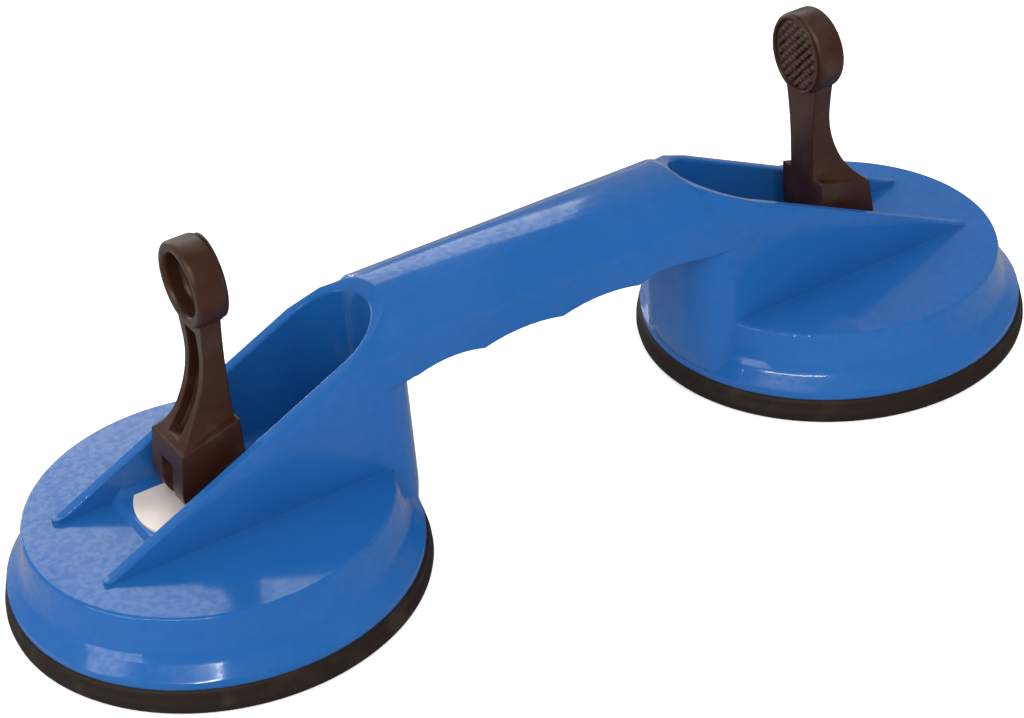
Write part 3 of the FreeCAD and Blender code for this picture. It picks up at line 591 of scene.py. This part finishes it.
@dataclass
class Pad:
    """Rubber pad of one cup: rim, thin disc in sectors, and the middle that the stem lifts.

    Sizes are in metres.

    Attributes:
        side: Which cup.
        finishes: Finishes of the tool.
        outside: Outer radius of the rim.
        rim_inside: Inner radius of the rim.
        rim_top: Height of the rim.
        rim_chamfer: Chamfer along the rim's inner edges.
        disc: Height of the thin disc's top.
        root_run: Width of the slope where the disc's top meets the rim.
        root_rise: Height of that slope.
        hub: Radius of the thick middle.
        hub_bevel: Width of the slope round the middle's underside.
        hub_top: Height of the middle.
        boss: Radius of the recess for the core plate's boss.
        boss_floor: Height of that recess's floor.
        ridge: Height of the sealing ridges under the disc.
        ridge_count: Steps of the ridges between the middle and the rim.
        sectors: Sectors of the disc.
        rim_steps: Steps of the rim's full turn.
        hub_steps: Steps of the middle's full turn.
    """

    side: Side
    finishes: Finishes
    outside: float = 0.0590
    rim_inside: float = 0.0515
    rim_top: float = 0.0077
    rim_chamfer: float = 0.0008
    disc: float = 0.0035
    root_run: float = 0.001
    root_rise: float = 0.0008
    hub: float = 0.0260
    hub_bevel: float = 0.0030
    hub_top: float = 0.0055
    boss: float = 0.0083
    boss_floor: float = 0.0025
    ridge: float = 0.0004
    ridge_count: int = 14
    sectors: int = 8
    rim_steps: int = 128
    hub_steps: int = 96

    @property
    def centre(self) -> Vector:
        """The cup's axis, from its CAD node."""
        low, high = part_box(f"{self.side.tag}_suction_pad")
        return Vector(((low.x + high.x) / 2, (low.y + high.y) / 2, 0.0))

    def rim(self) -> bpy.types.Object:
        """Thick outer rim that stands under the housing: rounded foot, belly and shallow groove.

        Returns:
            The rim.
        """
        lip = self.outside
        profile = [
            (self.rim_inside, self.rim_chamfer),
            (self.rim_inside + 0.0010, 0.0),
            (lip - 0.0022, 0.0),
            (lip - 0.0010, 0.0003),
            (lip - 0.0003, 0.0011),
            (lip, 0.0024),
            (lip - 0.0001, 0.0040),
            (lip - 0.0007, 0.0047),
            (lip - 0.0006, 0.0062),
            (lip - 0.0008, 0.0070),
            (lip - 0.0015, self.rim_top),
            (self.rim_inside + 0.0005, self.rim_top),
            (self.rim_inside, self.rim_top - self.rim_chamfer),
        ]
        return finish_mesh(f"{self.side.tag}_pad_rim", spun(profile, self.centre, self.rim_steps),
                           self.finishes.rubber, 50.0)

    def middle(self) -> bpy.types.Object:
        """Thick middle, bonded to the core plate.

        Returns:
            The middle.
        """
        profile = [
            (0.0, 0.0),
            (self.hub - self.hub_bevel, 0.0),
            (self.hub, self.ridge),
            (self.hub, self.hub_top),
            (self.boss, self.hub_top),
            (self.boss, self.boss_floor),
            (0.0, self.boss_floor),
        ]
        return finish_mesh(
            f"{self.side.tag}_pad_middle", spun(profile, self.centre, self.hub_steps),
            self.finishes.rubber)

    def sector(self, index: int) -> bpy.types.Object:
        """One sector of the thin disc between the rim and the middle.

        Args:
            index: Its number, from 0.

        Returns:
            The sector.
        """
        sweep = math.tau / self.sectors
        start = index * sweep
        inner = self.hub
        outer = self.rim_inside
        under = []
        for ring in range(self.ridge_count + 1):
            radius = inner + (outer - inner) * ring / self.ridge_count
            under.append((radius, self.ridge if ring % 2 else 0.0))
        under[0] = (inner, self.ridge)
        under[-1] = (outer, self.rim_chamfer)
        over = [
            (outer, self.disc + self.root_rise),
            (outer - self.root_run, self.disc),
            (inner, self.disc),
        ]
        shape = spun(under + over, self.centre, self.rim_steps // self.sectors, start, sweep)
        edges = [edge for edge in shape.edges if edge.is_boundary]
        bmesh.ops.holes_fill(shape, edges=edges, sides=0)
        bmesh.ops.recalc_face_normals(shape, faces=shape.faces)
        piece = finish_mesh(f"{self.side.tag}_pad_disc_{index + 1}", shape, self.finishes.rubber)
        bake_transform(piece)
        return piece

    def build(self) -> list[bpy.types.Object]:
        """Build and mount the pad.

        Returns:
            The rim, the middle and the disc's sectors.
        """
        rim = self.rim()
        middle = self.middle()
        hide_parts(f"{self.side.tag}_suction_pad")
        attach(rim, "frame")
        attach(middle, f"{self.side.tag}_stem")
        pieces = [rim, middle] + [self.sector(index) for index in range(self.sectors)]
        return pieces


@dataclass
class Lever:
    """Release lever of one cup with its knurled thumb pad.

    Sizes are in metres.

    Attributes:
        side: Which cup.
        finishes: Finishes of the tool.
        half_width: Half the thumb pad's width.
        half_height: Half the thumb pad's height.
        tip_gap: Gap between the thumb pad and the lever's top.
        border: Width of the thumb pad's border.
        groove: Width of the step inside the border.
        proud: How far the border stands out.
        sunk: Depth of the field inside the border, as a share of that.
        pitch: Distance between the knurls.
    """

    side: Side
    finishes: Finishes
    half_width: float = 0.0105
    half_height: float = 0.0118
    tip_gap: float = 0.0004
    border: float = 0.0008
    groove: float = 0.0002
    proud: float = 0.0007
    sunk: float = 0.8
    pitch: float = 0.0030

    def body(self) -> bpy.types.Object:
        """The lever's own moulding."""
        return merged_copy(f"{self.side.tag}_release_lever", f"{self.side.tag}_lever_body",
                           self.finishes.lever)

    def thumb_pad(self) -> bpy.types.Object:
        """Raised oval with a border and diamond knurls on the face towards the grip.

        Returns:
            The thumb pad.
        """
        low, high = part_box(f"{self.side.tag}_release_lever")
        face = (low if self.side is Side.RIGHT else high).x
        rise = high.z - self.half_height - self.tip_gap
        shape = bmesh.new()
        ring = bmesh.ops.create_circle(shape, cap_ends=True, radius=1.0, segments=64)["verts"]
        bmesh.ops.scale(shape, verts=ring, vec=(self.half_width, self.half_height, 1.0))
        lift = bmesh.ops.extrude_face_region(shape, geom=list(shape.faces))
        bmesh.ops.translate(
            shape, vec=(0, 0, self.proud),
            verts=[v for v in lift["geom"] if isinstance(v, bmesh.types.BMVert)])
        bmesh.ops.recalc_face_normals(shape, faces=shape.faces)
        cap = max(shape.faces, key=lambda f: f.calc_center_median().z)
        bmesh.ops.inset_region(shape, faces=[cap], thickness=self.border, depth=0.0)
        bmesh.ops.inset_region(
            shape, faces=[cap], thickness=self.groove, depth=-self.proud * self.sunk)
        self.knurl(shape)
        inwards = -self.side.value
        turn = Matrix(((0, 0, inwards, 0), (inwards, 0, 0, 0), (0, 1, 0, 0), (0, 0, 0, 1)))
        bmesh.ops.transform(shape, matrix=turn, verts=shape.verts)
        bmesh.ops.translate(shape, verts=shape.verts, vec=(face, 0.0, rise))
        return finish_mesh(f"{self.side.tag}_thumb_pad", shape, self.finishes.lever, 30.0)

    def knurl(self, shape: bmesh.types.BMesh) -> None:
        """Add the pad's diamond pyramids.

        Args:
            shape: The pad, lying flat about its centre.
        """
        across = self.half_width - self.border - self.pitch * 0.45
        along = self.half_height - self.border - self.pitch * 0.45
        count = int(self.half_height / self.pitch * 2) + 2
        for row in range(-count, count + 1):
            for column in range(-count, count + 1):
                x = (row + column) * self.pitch / 2
                y = (row - column) * self.pitch / 2
                if (x / across) ** 2 + (y / along) ** 2 > 1.0:
                    continue
                bmesh.ops.create_cone(
                    shape, cap_ends=True, segments=4, radius1=self.pitch * 0.48,
                    radius2=self.pitch * 0.16, depth=self.proud * self.sunk,
                    matrix=Matrix.Translation((x, y, self.proud * 0.6)))

    def build(self) -> list[bpy.types.Object]:
        """Build and mount the lever.

        Returns:
            Its body and its thumb pad.
        """
        body = self.body()
        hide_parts(f"{self.side.tag}_release_lever")
        pieces = [body, self.thumb_pad()]
        for piece in pieces:
            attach(piece, f"{self.side.tag}_lever")
        return pieces


@dataclass
class Spring:
    """Return spring of one cup, as a coil of one length fixed to the frame.

    Sizes are in metres.

    Attributes:
        side: Which cup.
        finishes: Finishes of the tool.
        radius: Radius of the coil, to the wire's middle.
        wire: Radius of the wire.
        turns: Turns of the coil.
        wire_sides: Sides of the wire's section.
        turn_steps: Steps of each turn.
    """

    side: Side
    finishes: Finishes
    radius: float = 0.0102
    wire: float = 0.0006
    turns: float = 3.25
    wire_sides: int = 10
    turn_steps: int = 32

    def build(self) -> list[bpy.types.Object]:
        """Build and mount the spring.

        Returns:
            Its coil.
        """
        node = f"{self.side.tag}_return_spring"
        low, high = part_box(node)
        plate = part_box(f"{self.side.tag}_core_plate")
        centre = (plate[0] + plate[1]) / 2
        foot = low.z + self.wire
        rise = high.z - self.wire - foot
        shape = bmesh.new()
        ring = bmesh.ops.create_circle(
            shape, cap_ends=False, radius=self.wire, segments=self.wire_sides)["verts"]
        upright = Matrix.Rotation(math.pi / 2, 3, "X")
        bmesh.ops.rotate(shape, verts=ring, cent=(0, 0, 0), matrix=upright)
        bmesh.ops.translate(shape, verts=ring, vec=(self.radius, 0, 0))
        steps = int(self.turns * self.turn_steps)
        bmesh.ops.spin(shape, geom=list(shape.verts) + list(shape.edges), cent=(0, 0, 0),
                       axis=(0, 0, 1), dvec=(0, 0, rise / steps), angle=self.turns * math.tau,
                       steps=steps, use_merge=False)
        bmesh.ops.holes_fill(shape, edges=[e for e in shape.edges if e.is_boundary], sides=0)
        bmesh.ops.recalc_face_normals(shape, faces=shape.faces)
        bmesh.ops.translate(shape, verts=shape.verts, vec=(centre.x, centre.y, foot))
        coil = finish_mesh(f"{self.side.tag}_spring_coil", shape, self.finishes.spring, 60.0)
        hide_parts(node)
        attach(coil, "frame")
        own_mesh(coil)
        return [coil]


@dataclass
class Hardware:
    """The CAD solids of one cup that stay as they are and only get a finish."""

    side: Side
    finishes: Finishes

    def build(self) -> list[bpy.types.Object]:
        """Give each solid its material.

        Returns:
            The solids.
        """
        wanted = {
            "cam_plate": self.finishes.zinc,
            "core_plate": self.finishes.steel,
            "lift_stem": self.finishes.steel,
            "jam_nut": self.finishes.steel,
            "spring_washer": self.finishes.steel,
            "pivot_pin": self.finishes.steel,
            "guide_bush": self.finishes.nylon,
        }
        pieces = []
        for name, material in wanted.items():
            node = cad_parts[f"{self.side.tag}_{name}"]
            node.data.materials.clear()
            node.data.materials.append(material)
            pieces.append(node)
        return pieces


# --------------------------------------------------------------------------------------------
# Studio
# --------------------------------------------------------------------------------------------


@dataclass(frozen=True)
class Viewpoint:
    """Where the camera stands, which way it looks, and its lens.

    Attributes:
        place: Where it stands, in metres.
        lens: Focal length, in millimetres.
        film: Width of the film, in millimetres.
        shift: Shift of the lens, in widths of the picture.
        right: Direction to the picture's right.
        up: Direction to the picture's top.
        back: Direction from the tool to the camera.
    """

    place: tuple[float, float, float] = (-0.30737, -0.53677, 0.43709)
    lens: float = 91.18
    film: float = 36.0
    shift: tuple[float, float] = (-0.00525, 0.04169)
    right: tuple[float, float, float] = (0.843877, -0.531238, -0.075217)
    up: tuple[float, float, float] = (0.354454, 0.446745, 0.821451)
    back: tuple[float, float, float] = (-0.402783, -0.719864, 0.565297)

    def build(self) -> bpy.types.Object:
        """Set up the camera.

        Returns:
            The camera.
        """
        data = bpy.data.cameras.new("camera")
        data.sensor_width = self.film
        data.lens = self.lens
        data.shift_x, data.shift_y = self.shift
        data.clip_start = 0.01
        camera = bpy.data.objects.new("camera", data)
        turn = Matrix((self.right, self.up, self.back)).transposed().to_4x4()
        camera.matrix_world = Matrix.Translation(self.place) @ turn
        bpy.context.scene.collection.objects.link(camera)
        bpy.context.scene.camera = camera
        return camera


@dataclass(frozen=True)
class SoftLamp:
    """A soft rectangular lamp.

    Attributes:
        name: Its name.
        way: Direction in which it stands, seen from the tool.
        reach: Distance from the tool, in metres.
        size: Width and height, in metres.
        power: Power, in watts.
        lighting: Whether it lights matt surfaces.
        mirrored: Whether glossy surfaces show it.
        aim: The place that it faces, in metres.
    """

    name: str
    way: tuple[float, float, float]
    reach: float
    size: tuple[float, float]
    power: float
    lighting: bool = True
    mirrored: bool = True
    aim: tuple[float, float, float] = (0.0, 0.0, 0.03)

    def build(self) -> bpy.types.Object:
        """Hang the lamp.

        Returns:
            The lamp.
        """
        data = bpy.data.lights.new(self.name, "AREA")
        data.shape = "RECTANGLE"
        data.size, data.size_y = self.size
        data.energy = self.power
        lamp = bpy.data.objects.new(self.name, data)
        out = Vector(self.way).normalized()
        turn = (-out).to_track_quat("-Z", "Y").to_matrix().to_4x4()
        lamp.matrix_world = Matrix.Translation(Vector(self.aim) + out * self.reach) @ turn
        lamp.visible_diffuse = self.lighting
        lamp.visible_glossy = self.mirrored
        bpy.context.scene.collection.objects.link(lamp)
        return lamp


@dataclass(frozen=True)
class Surround:
    """White surround: plain white to the eye, dimmer as a light and as a reflection.

    Attributes:
        light: Strength as a light on matt surfaces.
        reflection: Strength as seen in glossy surfaces.
    """

    light: float = 0.84
    reflection: float = 0.30

    def build(self) -> bpy.types.World:
        """Build the surround and make it the scene's world.

        Returns:
            The world.
        """
        world = bpy.data.worlds.new("surround")
        world.use_nodes = True
        nodes = Nodes(world.node_tree)
        soft = self.light + (self.reflection - self.light) * nodes.ray("Is Glossy Ray")
        level = soft.most(nodes.ray("Is Camera Ray"))
        back = next(n for n in nodes.tree.nodes if n.type == "BACKGROUND")
        back.inputs["Color"].default_value = (1.0, 1.0, 1.0, 1.0)
        nodes.tree.links.new(level.socket, back.inputs["Strength"])
        bpy.context.scene.world = world
        return world


@dataclass(frozen=True)
class Floor:
    """Plain white floor under the pads, which looks white outside the tool's shadow.

    Attributes:
        width: Width, in metres.
        white: Colour of the floor.
        mirrored: Its colour as seen in glossy surfaces.
        glow: Strength of its own light, for the camera alone.
    """

    width: float = 6.0
    white: Colour = (0.92, 0.92, 0.92)
    mirrored: Colour = (0.35, 0.35, 0.35)
    glow: float = 0.55

    def build(self) -> bpy.types.Object:
        """Lay the floor.

        Returns:
            The floor.
        """
        shape = bmesh.new()
        bmesh.ops.create_grid(shape, x_segments=2, y_segments=2, size=self.width / 2)
        mix = Recipe("floor_white")
        glow = mix.tint(mix.ray("Is Camera Ray"), (0.0, 0.0, 0.0), (1.0, 1.0, 1.0))
        colour = mix.tint(mix.ray("Is Glossy Ray"), self.white, self.mirrored)
        material = mix.dress(
            Base_Color=colour, Roughness=0.9, Specular_IOR_Level=0.1,
            Emission_Color=glow, Emission_Strength=self.glow)
        ground = finish_mesh("floor", shape, material)
        return ground


@dataclass(frozen=True)
class Studio:
    """Camera, soft lamps, pale floor and white surround."""

    lamps: tuple[SoftLamp, ...] = (
        SoftLamp("backdrop", (0.26, 0.96, 0.66), 1.9, (1.45, 0.9), 9.5),
        SoftLamp("horizon", (-0.10, 1.0, 0.12), 1.9, (1.3, 0.28), 5.0),
        SoftLamp("key", (-0.20, -0.62, 0.76), 1.5, (1.10, 0.90), 7.2, mirrored=False),
        SoftLamp("side", (-1.0, -0.06, 0.35), 1.5, (0.7, 0.7), 5.5),
        SoftLamp("glint", (-0.85, -0.53, 1.0), 1.5, (0.9, 0.025), 8.0, lighting=False),
    )

    def build(self) -> None:
        """Set up the whole studio."""
        bpy.context.scene.view_settings.view_transform = "Standard"
        Viewpoint().build()
        Surround().build()
        Floor().build()
        for lamp in self.lamps:
            lamp.build()


def main() -> None:
    """Build the tool and its studio, and report each piece."""
    logging.basicConfig(level=logging.INFO, format="%(name)s: %(message)s")
    Studio().build()
    finishes = Finishes()
    assemblies: list[Any] = [Handle(finishes)]
    for side in Side:
        assemblies += [Pad(side, finishes), Lever(side, finishes), Spring(side, finishes),
                       Hardware(side, finishes)]
    for assembly in assemblies:
        for piece in assembly.build():
            log.info("%s: %d faces", piece.name, len(piece.data.polygons))


if __name__ == "__main__":
    main()
